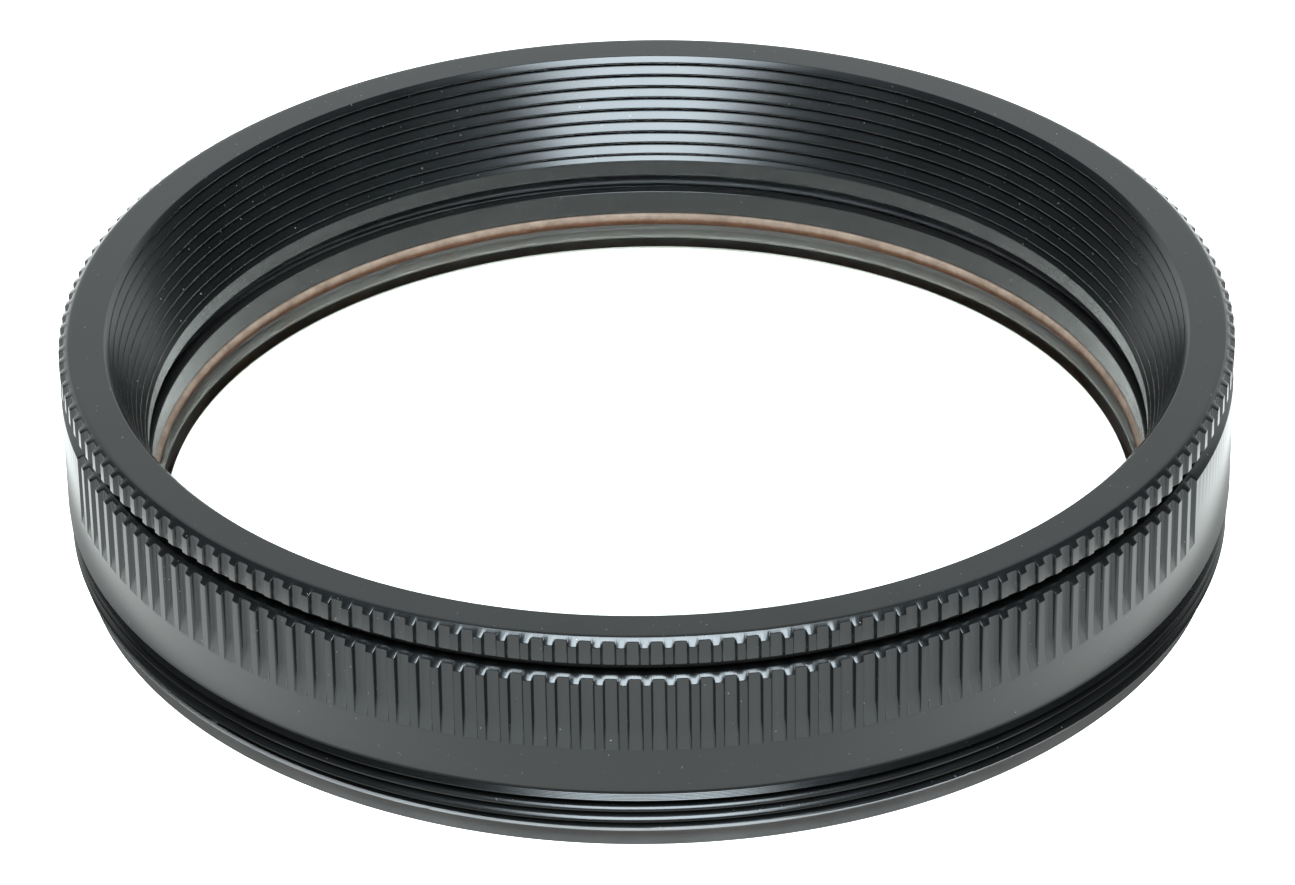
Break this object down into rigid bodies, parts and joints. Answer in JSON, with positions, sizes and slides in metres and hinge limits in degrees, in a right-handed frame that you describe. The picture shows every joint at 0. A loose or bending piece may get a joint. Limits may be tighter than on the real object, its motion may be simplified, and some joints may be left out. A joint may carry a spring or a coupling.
{
  "type": "barlow lens cell",
  "caption": "Flat ring-shaped barlow lens cell: knurled front ring with a grooved glare baffle, knurled body ring, glass stack under a retaining ring, and a short male rear thread.",
  "frame": {"origin": "centre of the rear rim's plane, on the optical axis; the cell stands on this plane", "axes": "+Z along the optical axis towards the front ring; the smooth grip panels face about +X and -X"},
  "size_m": [0.0724, 0.0724, 0.0147],
  "materials": {
    "black_anodised": "satin black anodised, machined",
    "black_nylon": "matte",
    "brown_fibre": "dry fibre cord, slightly waxed",
    "optical_glass": "polished, ground edge",
    "blackened_brass": "chemically blackened foil"
  },
  "bodies": {
    "cell": {"body_ring": "black_anodised", "retaining_ring": "black_anodised", "fibre_gasket": "brown_fibre", "front_element": "optical_glass", "element_spacer": "blackened_brass", "rear_element": "optical_glass"},
    "washer": {"slip_washer": "black_nylon"},
    "front": {"front_ring": "black_anodised"}
  },
  "joints": [
    {"name": "ring_rise", "type": "slide", "parent": "cell", "child": "washer", "axis": [0, 0, 1], "range_m": [0, 0.00487]},
    {"name": "ring_turn", "type": "hinge", "parent": "washer", "child": "front", "pos_m": [0, 0, 0.01273], "axis": [0, 0, 1], "range_deg": [0, 2340]}
  ],
  "couplings": [
    {"joint": "ring_rise", "follows": "ring_turn", "m_per_rad": 0.00011937}
  ]
}
